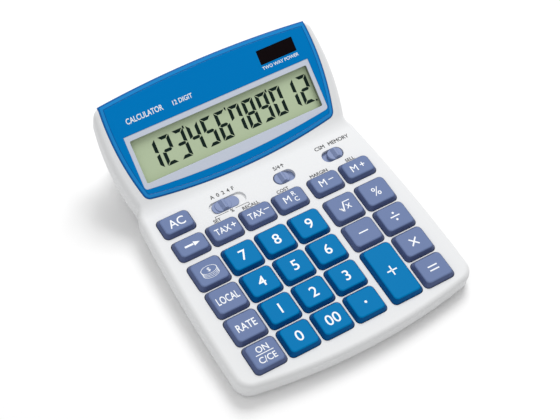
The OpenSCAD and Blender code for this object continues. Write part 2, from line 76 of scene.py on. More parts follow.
HALF_W = CASE_W / 2
HEAD_HALF = HEAD_W / 2
LENS_HALF = HEAD_HALF - 4.8
LENS_BOTTOM, LENS_TOP = 0.6, HEAD_LEN - 1.0
FRAME_HALF = LENS_HALF - 7.0
FRAME_BOTTOM, FRAME_TOP = 7.1, HEAD_LEN - 24.0

# ---- places: the deck's plane and the head's plane ----
press = next(j for j in frame["joints"] if j["name"] == "key_5_press")
SLOPE = math.atan2(press["axis"][1], -press["axis"][2])
DECK = (
    Matrix.Translation((0, CAD_LO.y, FRONT_H * MM))
    @ Matrix.Rotation(SLOPE, 4, "X")
    @ Matrix.Scale(MM, 4)
)
HEAD = DECK @ Matrix.Translation((0, KEYPAD_LEN, 0)) @ Matrix.Rotation(HEAD_TILT, 4, "X")
DECK_INVERSE = DECK.inverted()


def on_deck(node):
    """Lowest and highest corner of a CAD node, measured on the deck's plane in millimetres."""
    points = [DECK_INVERSE @ v.co for v in frame["nodes"][node].data.vertices]
    low = Vector(min(p[i] for p in points) for i in range(3))
    high = Vector(max(p[i] for p in points) for i in range(3))
    return low, high


# ---- modelling helpers ----
def deselect():
    bpy.ops.object.select_all(action="DESELECT")


def active(obj):
    deselect()
    obj.select_set(True)
    bpy.context.view_layer.objects.active = obj
    return obj


def edit(obj, mode="EDGE"):
    active(obj)
    bpy.ops.object.mode_set(mode="EDIT")
    bpy.ops.mesh.select_mode(type=mode)
    bpy.ops.mesh.select_all(action="DESELECT")
    bpy.ops.object.mode_set(mode="OBJECT")


def chosen(obj, kind, test):
    """Selects the faces or edges that pass a test, and enters edit mode on them."""
    edit(obj, kind)
    mesh = obj.data
    for item in mesh.polygons if kind == "FACE" else mesh.edges:
        item.select = test(item)
    bpy.ops.object.mode_set(mode="EDIT")


def done(obj):
    bpy.ops.object.mode_set(mode="OBJECT")
    return obj


def tinted(obj, index):
    """Gives the selected faces one of the piece's finishes."""
    obj.active_material_index = index
    bpy.ops.object.material_slot_assign()


def named(name):
    obj = bpy.context.object
    obj.name = name
    return obj


def box(name, size, centre):
    deselect()
    bpy.ops.mesh.primitive_cube_add(size=1, location=centre)
    obj = named(name)
    obj.scale = size
    bpy.ops.object.transform_apply(location=True, rotation=True, scale=True)
    return obj


def upright(mesh, edge):
    a, b = (mesh.vertices[i].co for i in edge.vertices)
    return abs(a.z - b.z) > 0.9 * (a - b).length and (a - b).length > 1e-4


def round_box(name, w, h, low, high, r, centre=(0, 0), steps=6):
    """A block with rounded upright corners, standing on the deck's plane."""
    obj = box(name, (w, h, high - low), (centre[0], centre[1], (low + high) / 2))
    chosen(obj, "EDGE", lambda e: upright(obj.data, e))
    bpy.ops.mesh.bevel(offset=min(r, w / 2 - 0.01, h / 2 - 0.01), segments=steps, affect="EDGES")
    return done(obj)


def boolean(obj, tool, operation="DIFFERENCE"):
    active(obj)
    cut = obj.modifiers.new("cut", "BOOLEAN")
    cut.object, cut.operation, cut.solver = tool, operation, "EXACT"
    bpy.ops.object.modifier_apply(modifier=cut.name)
    bpy.data.objects.remove(tool)
    return obj


def eased(obj, width, segments=3, degrees=50):
    """Rounds a piece's sharp edges a little."""
    active(obj)
    soft = obj.modifiers.new("eased edges", "BEVEL")
    soft.width, soft.segments, soft.limit_method = width, segments, "ANGLE"
    soft.angle_limit = math.radians(degrees)
    bpy.ops.object.modifier_apply(modifier=soft.name)
    return obj


def joined(name, objs):
    active(objs[0])
    for o in objs:
        o.select_set(True)
    if len(objs) > 1:
        bpy.ops.object.join()
    return named(name)


def place(obj, matrix):
    """Moves a piece from its own plane to its place on the calculator, in its mesh."""
    active(obj)
    obj.matrix_world = matrix @ obj.matrix_world
    bpy.ops.object.transform_apply(location=True, rotation=True, scale=True)
    return obj


def smooth(obj, degrees=35):
    active(obj)
    bpy.ops.object.shade_smooth_by_angle(angle=math.radians(degrees))
    weighted = obj.modifiers.new("even shading", "WEIGHTED_NORMAL")
    weighted.keep_sharp = True
    bpy.ops.object.modifier_apply(modifier=weighted.name)
    return obj


def circles_meet(c0, r0, c1, r1):
    """The meeting point of two circles that lies to the left of the way from c0 to c1."""
    c0, c1 = Vector(c0), Vector(c1)
    d = (c1 - c0).length
    a = (r0 * r0 - r1 * r1 + d * d) / (2 * d)
    u = (c1 - c0) / d
    return c0 + a * u + math.sqrt(r0 * r0 - a * a) * Vector((-u.y, u.x))


def heading(point, centre):
    return math.atan2(point[1] - centre[1], point[0] - centre[0])


def traced(name, start, strokes):
    """An outline drawn from one point: each stroke is a turn about a centre or a straight run."""
    deselect()
    bpy.ops.mesh.primitive_plane_add(size=1)
    obj = named(name)
    bpy.ops.object.mode_set(mode="EDIT")
    bpy.ops.mesh.select_mode(type="VERT")
    bpy.ops.mesh.select_all(action="SELECT")
    bpy.ops.mesh.merge(type="CENTER")
    bpy.ops.transform.translate(value=(start[0], start[1], 0))
    at = Vector((start[0], start[1]))
    for stroke in strokes:
        if stroke[0] == "turn":
            centre, angle, steps = Vector(stroke[1]), stroke[2], stroke[3]
            bpy.ops.mesh.spin(steps=steps, angle=TURN * angle, center=(centre.x, centre.y, 0),
                axis=(0, 0, 1), use_auto_merge=False)
            at = centre + Matrix.Rotation(angle, 2) @ (at - centre)
        else:
            run = Vector(stroke[1]) - at
            bpy.ops.mesh.extrude_region_move(TRANSFORM_OT_translate={"value": (run.x, run.y, 0)})
            at = Vector(stroke[1])
    bpy.ops.object.mode_set(mode="OBJECT")
    return obj


def spin_sense():
    """Whether the spin operator turns with or against the right-hand rule here."""
    deselect()
    bpy.ops.mesh.primitive_plane_add(size=1)
    probe = named("probe")
    bpy.ops.object.mode_set(mode="EDIT")
    bpy.ops.mesh.select_all(action="SELECT")
    bpy.ops.mesh.merge(type="CENTER")
    bpy.ops.transform.translate(value=(1, 0, 0))
    bpy.ops.mesh.spin(steps=4, angle=math.pi / 2, center=(0, 0, 0), axis=(0, 0, 1))
    bpy.ops.object.mode_set(mode="OBJECT")
    up = sum(v.co.y for v in probe.data.vertices)
    bpy.data.objects.remove(probe)
    return 1 if up > 0 else -1


TURN = spin_sense()


def filled(obj, low, high, mirrored=True):
    """Closes a traced outline into a plate from height low to height high."""
    active(obj)
    bpy.ops.object.mode_set(mode="EDIT")
    bpy.ops.mesh.select_mode(type="VERT")
    bpy.ops.mesh.select_all(action="SELECT")
    if mirrored:
        bpy.ops.mesh.duplicate()
        bpy.ops.transform.resize(value=(-1, 1, 1), center_override=(0, 0, 0))
        bpy.ops.mesh.select_all(action="SELECT")
    bpy.ops.mesh.remove_doubles(threshold=0.002)
    bpy.ops.mesh.edge_face_add()
    bpy.ops.transform.translate(value=(0, 0, low))
    bpy.ops.mesh.extrude_region_move(TRANSFORM_OT_translate={"value": (0, 0, high - low)})
    bpy.ops.mesh.select_all(action="SELECT")
    bpy.ops.mesh.normals_make_consistent(inside=False)
    bpy.ops.object.mode_set(mode="OBJECT")
    return obj


def bowed_strokes(half, wide_at, side, near, corner, length, far, inset=0.0):
    """Strokes of a plate with bowed sides, from the middle of its near end to its far end."""
    near_c, side_c = Vector((0, near)), Vector((half - side, wide_at))
    corner_c = circles_meet(near_c, near - corner, side_c, side - corner)
    near_a, side_a = heading(corner_c, near_c), heading(corner_c, side_c)
    strokes = [
        ("turn", near_c, near_a + math.pi / 2, 14),
        ("turn", corner_c, side_a - near_a, 8),
    ]
    if far:
        end = circles_meet(side_c, side - inset, (0, length - far), far - inset)
    else:
        end = Vector((side_c.x + math.sqrt((side - inset) ** 2 - (length - wide_at) ** 2), length))
    strokes.append(("turn", side_c, heading(end, side_c) - side_a, 18))
    if far:
        far_c = Vector((0, length - far))
        strokes.append(("turn", far_c, math.pi / 2 - heading(end, far_c), 14))
    return (0, inset), strokes


def lens_plate(name, inset, low, high):
    start, strokes = bowed_strokes(LENS_HALF, LENS_TOP * 0.7, 140, 350, 4.5,
        LENS_TOP - LENS_BOTTOM, 660, inset)
    obj = filled(traced(name, start, strokes), low, high)
    active(obj)
    obj.location.y = LENS_BOTTOM
    bpy.ops.object.transform_apply(location=True)
    return obj


def frame_plate(name, inset, low, high):
    start, strokes = bowed_strokes(FRAME_HALF, 10, 2000, 480, 2, FRAME_TOP - FRAME_BOTTOM - inset,
        0, inset)
    obj = filled(traced(name, start, strokes), low, high)
    active(obj)
    obj.location.y = FRAME_BOTTOM
    bpy.ops.object.transform_apply(location=True)
    return obj


# ---- the housing: a side profile met by a plan outline ----
def housing_plan(name, inset, low, high):
    """The plan of the whole housing, seen square to the deck: keypad, neck and head."""
    start, strokes = bowed_strokes(HALF_W, WIDEST, SIDE_R, FRONT_R, CORNER_R, KEYPAD_LEN - 2.5,
        0, inset)
    flat = math.cos(HEAD_TILT)
    top = KEYPAD_LEN + HEAD_LEN * flat
    side, near = HEAD_SIDE_R * flat * flat, HEAD_TOP_R / flat
    side_c = Vector((HEAD_HALF - side, top - HEAD_WIDEST * flat))
    near_c = Vector((0, top - near))
    corner_c = circles_meet(side_c, side - HEAD_CORNER_R, near_c, near - HEAD_CORNER_R)
    neck_v = KEYPAD_LEN + 2.5
    neck = Vector((side_c.x + math.sqrt((side - inset) ** 2 - (neck_v - side_c.y) ** 2), neck_v))
    side_a, near_a = heading(corner_c, side_c), heading(corner_c, near_c)
    strokes += [
        ("run", neck),
        ("turn", side_c, side_a - heading(neck, side_c), 18),
        ("turn", corner_c, near_a - side_a, 8),
        ("turn", near_c, math.pi / 2 - near_a, 14),
    ]
    return filled(traced(name, start, strokes), low, high)


def side_profile(name, deck_top, head_top, deck_low, head_low):
    """The housing's side view, extruded across the full width."""
    t = math.tan(HEAD_TILT / 2)
    up = Vector((math.cos(HEAD_TILT), math.sin(HEAD_TILT)))
    out = Vector((-up.y, up.x))
    crease = Vector((KEYPAD_LEN, 0))

    def corner(deck_w, head_n):
        start = crease + out * head_n
        run = (deck_w - start.y) / up.y
        return start + up * run

    top, low = corner(deck_top, head_top), corner(deck_low, head_low)
    fillet = CREASE_R * t
    far = 110
    start = Vector((-30, deck_top))
    strokes = [
        ("run", top - Vector((fillet, 0))),
        ("turn", top + Vector((-fillet, CREASE_R)), HEAD_TILT, 10),
        ("run", top + up * far),
        ("run", low + up * far),
        ("run", low),
        ("run", (-30, deck_low)),
    ]
    obj = filled(traced(name, start, strokes), -100, 100, mirrored=False)
    obj.matrix_world = Matrix(((0, 0, 1, 0), (1, 0, 0, 0), (0, 1, 0, 0), (0, 0, 0, 1)))
    active(obj)
    bpy.ops.object.transform_apply(location=True, rotation=True, scale=True)
    return obj


def face_pairs(mesh):
    """The normals of the two faces that meet at each edge."""
    meet = {}
    for p in mesh.polygons:
        for key in p.edge_keys:
            meet.setdefault(key, []).append(p.normal.copy())
    return meet


def round_rim(obj, radius, steps):
    """Rounds the rim where the housing's top meets its walls."""
    meet = face_pairs(obj.data)

    def on_rim(e):
        pair = meet.get(tuple(sorted(e.vertices)), [])
        if len(pair) != 2:
            return False
        z = sorted(n.z for n in pair)
        return z[1] > 0.6 and abs(z[0]) < 0.3

    chosen(obj, "EDGE", on_rim)
    bpy.ops.mesh.bevel(offset=radius, segments=steps, affect="EDGES", clamp_overlap=False)
    return done(obj)


def soften_neck(obj, radius):
    """Rounds the two upright corners on each side of the neck."""
    def at_neck(e):
        a, b = (obj.data.vertices[i].co for i in e.vertices)
        middle = (a + b) / 2
        return upright(obj.data, e) and abs(middle.y - KEYPAD_LEN) < 3.2 and abs(middle.x) > 60

    chosen(obj, "EDGE", at_neck)
    bpy.ops.mesh.bevel(offset=radius, segments=5, affect="EDGES")
    return done(obj)


KEY_TOPS = {}
KEYS = sorted(n for n in frame["nodes"] if n.startswith("key_"))
for node in KEYS:
    low, high = on_deck(node)
    flange = 0.45
    KEY_TOPS[node] = ((low + high) / 2, high.x - low.x - 2 * flange, high.y - low.y - 2 * flange)


def deck_of(node):
    """The middle of a key, on the deck's plane."""
    return KEY_TOPS[node][0]


SLOT_DROP = 0.9         # the slots stand this much in front of the rearmost key's middle
SWITCH_V = deck_of("key_all_clear").y - SLOT_DROP
DECIMAL_X = (deck_of("key_tax_plus").x + deck_of("key_tax_minus").x) / 2 + 0.35
ROUNDING_X = deck_of("key_3").x + 5.45
MEMORY_X = deck_of("key_percent").x - 6.4
SOLAR_AT, SOLAR_SIZE = (42.3, HEAD_LEN - 13.5), (23.1, 8.2)


def upper_housing():
    shell = housing_plan("upper_housing", 0, -30, 70)
    soften_neck(shell, 2.2)
    boolean(shell, side_profile("profile", 0, 0, -KEYPAD_WALL, -HEAD_WALL), "INTERSECT")
    round_rim(shell, RIM_R, 6)
    hollow = housing_plan("hollow", WALL, -40, 80)
    boolean(hollow, side_profile("inner profile", -PLATE_T, -HEAD_PLATE_T, -60, -60), "INTERSECT")
    boolean(shell, hollow)
    seat = lens_plate("seat", -0.15, -LENS_SEAT, 6)
    window = frame_plate("window", -0.15, -8, 3)
    solar = round_box("solar window", SOLAR_SIZE[0] + 1.6, SOLAR_SIZE[1] + 1.6, -8, 3, 0.5, SOLAR_AT)
    for tool in (seat, window, solar):
        place(tool, DECK_INVERSE @ HEAD)
        boolean(shell, tool)
    cuts = []
    for node in KEYS:
        centre, w, h = KEY_TOPS[node]
        cuts.append(round_box("hole", w + 2 * KEY_CLEAR, h + 2 * KEY_CLEAR, -4, 2, 2.8, centre))
    cuts.append(round_box("slot", 22, SLOT_H, -1.2, 2, 9, (DECIMAL_X, SWITCH_V), 10))
    cuts.append(round_box("slit", 10.4, 3.4, -4, -1.0, 0.5, (DECIMAL_X + 0.05, SWITCH_V)))
    for x in (ROUNDING_X, MEMORY_X):
        cuts.append(round_box("slot", 13, SLOT_H, -4, 2, 9, (x, SWITCH_V), 10))
    for cut in cuts:
        boolean(shell, cut)

    def at_hole(e):
        a, b = (shell.data.vertices[i].co for i in e.vertices)
        pair = meet.get(tuple(sorted(e.vertices)), [])
        inside = abs(a.x) < 64 and 9 < a.y < 116
        return (inside and abs(a.z) < 0.01 and abs(b.z) < 0.01 and len(pair) == 2
                and min(n.z for n in pair) < 0.5)

    meet = face_pairs(shell.data)
    chosen(shell, "EDGE", at_hole)
    bpy.ops.mesh.bevel(offset=0.25, segments=2, affect="EDGES")
    done(shell)
    place(shell, DECK)
    return smooth(shell, 30)


# ---- materials ----
def linear(code):
    parts = [int(code[i:i + 2], 16) / 255 for i in (1, 3, 5)]
    return [c / 12.92 if c <= 0.04045 else ((c + 0.055) / 1.055) ** 2.4 for c in parts] + [1.0]


def add_node(tree, kind, settings=None, links=None):
    """Adds a node with its sockets set and linked."""
    node = tree.nodes.new(kind)
    for key, value in (settings or {}).items():
        if isinstance(key, str) and hasattr(node, key):
            setattr(node, key, value)
        else:
            node.inputs[key].default_value = value
    for key, source in (links or {}).items():
        tree.links.new(source, node.inputs[key])
    return node


def material(name, colour, rough, grain=0.0, grain_mm=0.5, **sockets):
    """A finish of one colour, with a fine moulded grain where grain is above zero."""
    mat = bpy.data.materials.new(name)
    mat.use_nodes = True
    tree = mat.node_tree
    shader = tree.nodes["Principled BSDF"]
    shader.inputs["Base Color"].default_value = linear(colour)
    shader.inputs["Roughness"].default_value = rough
    for key, value in sockets.items():
        shader.inputs[key.replace("_", " ")].default_value = value
    if grain:
        where = add_node(tree, "ShaderNodeTexCoord")
        noise = add_node(tree, "ShaderNodeTexNoise", {"Scale": 1 / (grain_mm * MM), "Detail": 2.0},
            {"Vector": where.outputs["Object"]})
        bump = add_node(tree, "ShaderNodeBump", {"Strength": grain, "Distance": 0.05 * MM},
            {"Height": noise.outputs["Fac"]})
        tree.links.new(bump.outputs["Normal"], shader.inputs["Normal"])
    return mat


def paint(obj, *materials):
    obj.data.materials.clear()
    for m in materials:
        obj.data.materials.append(m)
    return obj


# White ABS, moulded with a fine spark texture: soft broad highlights
ABS_WHITE = material("moulded white ABS", "#E4E5E6", 0.5, 0.12, Specular_IOR_Level=0.2)
# Satin ABS from a lightly etched mould: the keys' edges catch narrow highlights
ABS_BLUE = material("moulded blue ABS", "#0077B4", 0.42, 0.05, Specular_IOR_Level=0.03)
ABS_SLATE = material("moulded slate ABS", "#6C7DA6", 0.45, 0.05, Specular_IOR_Level=0.08)
# The sides of the keys are painted darker than their tops: painted shade where they stand in each other's
# shade, with the coarser grain of the drafted wall
BLUE_PAINTED_SHADE_SIDE = material("blue ABS wall in painted shade", "#005694", 0.5, 0.1, Specular_IOR_Level=0.05)
SLATE_PAINTED_SHADE_SIDE = material("slate ABS wall in painted shade", "#55628A", 0.5, 0.1, Specular_IOR_Level=0.1)
KNOB_SLATE = material("ribbed slate ABS", "#8391B6", 0.45, 0.08, Specular_IOR_Level=0.15)
ABS_LAVENDER = material("moulded lavender ABS", "#CAD1DF", 0.45, 0.06, Specular_IOR_Level=0.3)
# Painted shade: the inner walls of the display's frame, dark grey green where they stand in shade
PAINTED_SHADE_WALL = material("moulded ABS in painted shade", "#7C8673", 0.7, 0.1)
# Acrylic printed blue on its back: colour under a clear, smooth face
ACRYLIC_BLUE = material("back-printed acrylic", "#007AC2", 0.22, Specular_IOR_Level=0.03)
# A painted highlight on the lens's sloping band, and painted shade on its chamfer, groove and sides
ACRYLIC_PAINTED_HIGHLIGHT = material("bevelled acrylic band with painted highlight", "#0E86CE", 0.25, Specular_IOR_Level=0.3)
ACRYLIC_PAINTED_SHADE = material("acrylic chamfer and side in painted shade", "#0060A8", 0.25, Specular_IOR_Level=0.15)
# Reflective liquid crystal glass: a dull yellow green, even from all sides
CRYSTAL = material("reflective liquid crystal glass", "#BBCBA9", 0.4, Specular_IOR_Level=0.2)
CRYSTAL_DARK = material("darkened liquid crystal", "#0F231E", 0.45, Specular_IOR_Level=0.1)
SILICON = material("amorphous silicon on glass", "#0E0608", 0.2, Specular_IOR_Level=0.06)
INK_WHITE = material("white pad print", "#F2F5F8", 0.5)
INK_BLACK = material("black pad print", "#1A1B1E", 0.55)
RUBBER = material("moulded black rubber", "#2A2B2E", 0.8, 0.3)
SILICONE = material("moulded silicone", "#9FA3A8", 0.6)
PHENOLIC = material("phenolic board", "#8A6B3A", 0.6)
EPOXY = material("black epoxy", "#17181A", 0.3)
STEEL = material("nickel-plated steel", "#B9BBC0", 0.3, Metallic=1.0)
BRONZE = material("phosphor bronze", "#C99A5A", 0.35, Metallic=1.0)
FILM = material("heat-seal film", "#B98A4A", 0.5)
PVC_RED = material("red PVC insulation", "#C23A32", 0.5)
PVC_BLACK = material("black PVC insulation", "#2E3034", 0.5)
BRACKET = material("natural ABS", "#D9DBDD", 0.5)


# ---- lettering ----
def lettering(name, text, size, at, z, wide, bold):
    """Printed characters as a thin raised body on a plane, their middle at a place."""
    deselect()
    bpy.ops.object.text_add()
    obj = named(name)
    obj.data.body = text
    obj.data.size = size
    obj.data.offset = bold * size
    obj.data.extrude = 0.012
    obj.data.resolution_u = 4
    obj.data.align_x, obj.data.align_y = "CENTER", "CENTER"
    active(obj)
    bpy.ops.object.convert(target="MESH")
    obj = bpy.context.object
    xs = [v.co.x for v in obj.data.vertices]
    ys = [v.co.y for v in obj.data.vertices]
    middle = Vector(((min(xs) + max(xs)) / 2, (min(ys) + max(ys)) / 2, 0))
    obj.data.transform(Matrix.Translation(-middle))
    obj.matrix_world = (
        Matrix.Translation((at[0], at[1], z))
        @ Matrix.Diagonal((wide, 1, 1, 1))
    )
    bpy.ops.object.transform_apply(location=True, rotation=True, scale=True)
    return obj


def bar(name, w, h, at, z):
    return box(name, (w, h, 0.024), (at[0], at[1], z))


def finish(obj, node, body, slot, *materials):
    """Gives a piece its finish and its body, and hides the CAD node that it stands for."""
    if materials:
        paint(obj, *materials)
    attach(obj, body)
    if node:
        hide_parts(node)
    return obj


# ---- keys ----
TOP_INSET = 1.4
SHOULDER = 0.4


def key_body(name, w, h):
    """A moulded key: rounded corners, drafted sides and a soft rim round its flat top."""
    obj = round_box(name, w, h, -3.0, SHOULDER, 2.6)
    chosen(obj, "FACE", lambda f: f.normal.z > 0.9)
    bpy.ops.mesh.extrude_region_move(TRANSFORM_OT_translate={"value": (0, 0, KEY_RISE - SHOULDER)})
    ratio = ((w - 2 * TOP_INSET) / w, (h - 2 * TOP_INSET) / h, 1)
    bpy.ops.transform.resize(value=ratio, center_override=(0, 0, 0))
    done(obj)
    meet = face_pairs(obj.data)

    def top_rim(e):
        pair = meet.get(tuple(sorted(e.vertices)), [])
        return len(pair) == 2 and max(n.z for n in pair) > 0.99 and min(n.z for n in pair) > 0.05

    chosen(obj, "EDGE", top_rim)
    bpy.ops.mesh.bevel(offset=0.55, segments=3, affect="EDGES")
    done(obj)
    chosen(obj, "FACE", lambda f: f.normal.z < -0.9)
    bpy.ops.mesh.inset(thickness=1.2, depth=0)
    bpy.ops.mesh.extrude_region_move(TRANSFORM_OT_translate={"value": (0, 0, 4.2)})
    return done(obj)


def line_text(text, size, dx=0.0, dv=0.0, wide=1.0, bold=0.006):
    return ("text", text, size, dx, dv, wide, bold)


DIGIT = 8.5
LEGENDS = {f"key_{d}": [line_text(str(d), DIGIT, 0, 0, 1.06)] for d in range(10)}
LEGENDS.update({
    "key_00": [line_text("00", DIGIT, 0, 0, 1.04)],
    "key_point": [("dot", 1.5, 0, 0)],
    "key_plus": [("bar", 6.0, 0.8, 0, 0), ("bar", 0.8, 6.0, 0, 0)],
    "key_minus": [("bar", 5.8, 0.7, 0, 0)],
    "key_equals": [("bar", 5.8, 0.75, 0, 1.2), ("bar", 5.8, 0.75, 0, -1.2)],
    "key_divide": [("bar", 5.8, 0.7, 0, 0), ("dot", 1.3, 0, 2.2), ("dot", 1.3, 0, -2.2)],
    "key_multiply": [("cross", 6.2, 0.8, 0, 0)],
    "key_percent": [line_text("%", 7.4, bold=0.0)],
    "key_root": [line_text("√", 7.6, -1.6, -0.2, bold=0.0), line_text("x", 6.4, 2.0, -0.6, bold=0.0),
                 ("bar", 4.6, 0.5, 2.1, 2.75)],
    "key_all_clear": [line_text("AC", 7.0)],
    "key_shift_right": [("arrow", 8.4, 0, 0)],
    "key_tax_plus": [line_text("TAX", 5.4, -1.6, 0, 0.85), line_text("+", 6.0, 5.2, 0.5)],
    "key_tax_minus": [line_text("TAX", 5.4, -1.6, 0, 0.85), line_text("–", 6.0, 5.2, 0.6)],
    "key_memory_recall": [line_text("M", 6.0, -2.4, 0, 1.0, 0.0), line_text("R", 3.9, 2.6, 2.0, bold=0.01),
                          line_text("C", 3.9, 2.6, -1.8, bold=0.01)],
    "key_memory_minus": [line_text("M", 6.0, -2.4, 0, 1.0, 0.0), line_text("–", 5.8, 3.0, 0.4)],
    "key_memory_plus": [line_text("M", 6.0, -2.4, 0, 1.0, 0.0), line_text("+", 5.8, 3.0, 0.4)],
    "key_currency": [("coins", 4.6, 0, 0)],
    "key_local": [line_text("LOCAL", 6.2, 0, 0, 0.66, 0.01)],
    "key_rate": [line_text("RATE", 6.2, 0, 0, 0.8, 0.01)],
    "key_on_clear": [line_text("ON", 5.0, 0, 3.1, 0.95, 0.01), ("bar", 10.4, 0.45, 0, 0.35),
                     line_text("C/CE", 5.0, 0, -2.9, 0.95, 0.01)],
})


def dot(name, d, at, z):
    deselect()
    bpy.ops.mesh.primitive_cylinder_add(vertices=24, radius=d / 2, depth=0.024,
        location=(at[0], at[1], z))
    obj = named(name)
    bpy.ops.object.transform_apply(location=True)
    return obj


def ring(name, r, squash, at, z, line=0.16):
    deselect()
    bpy.ops.mesh.primitive_torus_add(major_radius=r, minor_radius=line, major_segments=40,
        minor_segments=6, location=(0, 0, 0))
    obj = named(name)
    obj.matrix_world = (Matrix.Translation((at[0], at[1], z))
                        @ Matrix.Diagonal((1, squash, 0.1, 1)))
    bpy.ops.object.transform_apply(location=True, rotation=True, scale=True)
    return obj


def legend_piece(mark, x, v, z):
    kind = mark[0]
    if kind == "text":
        _, text, size, dx, dv, wide, bold = mark
        return [lettering("print", text, size, (x + dx, v + dv), z, wide, bold)]
    if kind == "dot":
        return [dot("print", mark[1], (x + mark[2], v + mark[3]), z)]
    if kind == "bar":
        return [bar("print", mark[1], mark[2], (x + mark[3], v + mark[4]), z)]
    if kind == "cross":
        out = []
        for turn in (45, -45):
            b = bar("print", mark[1], mark[2], (0, 0), 0)
            b.matrix_world = (Matrix.Translation((x, v, z + 0.003 * (turn > 0)))
                              @ Matrix.Rotation(math.radians(turn), 4, "Z"))
            active(b)
            bpy.ops.object.transform_apply(location=True, rotation=True, scale=True)
            out.append(b)
        return out
    if kind == "arrow":
        shaft = bar("print", mark[1] * 0.6, 1.1, (x - mark[1] * 0.2, v), z)
        deselect()
        bpy.ops.mesh.primitive_cylinder_add(vertices=3, radius=1.9, depth=0.024)
        tip = named("print")
        tip.matrix_world = (Matrix.Translation((x + mark[1] * 0.28, v, z))
                            @ Matrix.Diagonal((1.25, 0.85, 1, 1))
                            @ Matrix.Rotation(math.radians(-90), 4, "Z"))
        active(tip)
        bpy.ops.object.transform_apply(location=True, rotation=True, scale=True)
        return [shaft, tip]
    coins = [ring("print", mark[1], 0.5, (x, v + 0.9), z, 0.2)]
    coins.append(lettering("print", "$", 3.2, (x, v + 0.9), z, 1.2, 0.0))
    for level in (1, 2, 3):
        # the lower coins show only the near half of their rims
        rim = ring("print", mark[1], 0.5, (x, v + 0.9 - 0.85 * level), z, 0.18)
        chosen(rim, "FACE", lambda f: f.center.y > v + 0.75 - 0.85 * level)
        bpy.ops.mesh.delete(type="FACE")
        coins.append(done(rim))
    return coins


def make_key(node):
    centre, w, h = KEY_TOPS[node]
    cap = key_body(node + "_moulding", w - 0.3, h - 0.3)
    place(cap, DECK @ Matrix.Translation((centre.x, centre.y, 0)))
    smooth(cap, 50)
    is_blue = node in BLUE
    finish(cap, node, node + "_cap", "blue_key" if is_blue else "slate_key",
        *((ABS_BLUE, BLUE_PAINTED_SHADE_SIDE) if is_blue else (ABS_SLATE, SLATE_PAINTED_SHADE_SIDE)))
    # the key's sides take the darker second finish, painted shade
    up = DECK.to_3x3().normalized() @ Vector((0, 0, 1))
    chosen(cap, "FACE", lambda f: f.normal.dot(up) < 0.6)
    tinted(cap, 1)
    done(cap)
    marks = []
    for mark in LEGENDS[node]:
        marks += legend_piece(mark, centre.x, centre.y, KEY_RISE + 0.02)
    legend = joined(node + "_print", marks)
    place(legend, DECK)
    finish(legend, None, node + "_cap", "blue_key" if is_blue else "slate_key", INK_WHITE)


BLUE = {f"key_{d}" for d in range(10)} | {"key_00", "key_point", "key_plus"}
for node in KEYS:
    make_key(node)

finish(upper_housing(), "upper_case", "housing", "housing", ABS_WHITE)


# ---- slide switches ----
# middle and length of the plate, middle and length of the disc, middle of the ridge
KNOBS = {
    "decimal_switch": (DECIMAL_X - 1.35, 16.0, DECIMAL_X - 2.9, 9.4, DECIMAL_X - 2.5),
    "rounding_switch": (ROUNDING_X - 1.5, 8.8, ROUNDING_X - 1.5, 8.8, ROUNDING_X - 1.1),
    "memory_switch": (MEMORY_X + 1.5, 8.8, MEMORY_X + 1.5, 8.8, MEMORY_X + 1.9),
}


# the middle of each through slot, closed from below by its knob's own shutter
SLOT_X = {"rounding_switch": ROUNDING_X, "memory_switch": MEMORY_X}
SLOT_LEN = 13.0
SHUTTER_LAP, SHUTTER_T, SHUTTER_N = 1.2, 0.5, -2.35


def make_knob(node):
    """A slide switch's knob: a flat disc with a ridge like a tent's across its middle."""
    plate_x, plate_len, disc_x, disc_len, ridge_x = KNOBS[node]
    low = -1.0 if node == "decimal_switch" else -1.6
    disc = round_box(node + "_disc", disc_len, SLOT_H - 0.7, low, 0.15, 3.2, (disc_x, SWITCH_V), 10)
    eased(disc, 0.35)
    parts = [disc]
    ridge = box("ridge", (4.6, SLOT_H - 1.3, 1.9), (ridge_x, SWITCH_V, 0.9))
    chosen(ridge, "FACE", lambda f: f.normal.z > 0.9)
    bpy.ops.transform.resize(value=(0.16, 0.92, 1), center_override=(ridge_x, SWITCH_V, 0))
    done(ridge)
    eased(ridge, 0.22)
    parts.append(ridge)
    if node == "decimal_switch":
        plate = round_box("plate", plate_len, SLOT_H - 0.9, -1.1, -0.35, 3.1, (plate_x, SWITCH_V), 10)
        parts.append(eased(plate, 0.2))
    else:
        parts.append(box("shutter", (SLOT_LEN + 2 * SHUTTER_LAP, SLOT_H + 0.8, SHUTTER_T),
            (SLOT_X[node], SWITCH_V, SHUTTER_N)))
    knob = joined(node + "_knob", parts)
    place(knob, DECK)
    return smooth(knob, 40)


for node in KNOBS:
    finish(make_knob(node), node, node + "_knob", "slate_key", KNOB_SLATE)

# ---- display ----
LENS_CHAMFER, LENS_BAND, LENS_GROOVE = 0.8, 1.5, 0.25
FRAME_N = 0.25          # the display frame's face
FRAME_RIM = 2.6
WINDOW_LOW, WINDOW_HIGH = FRAME_BOTTOM + 6.3, FRAME_TOP - 3.1
WINDOW_V = (WINDOW_LOW + WINDOW_HIGH) / 2
CRYSTAL_N = -2.4        # the liquid crystal's face


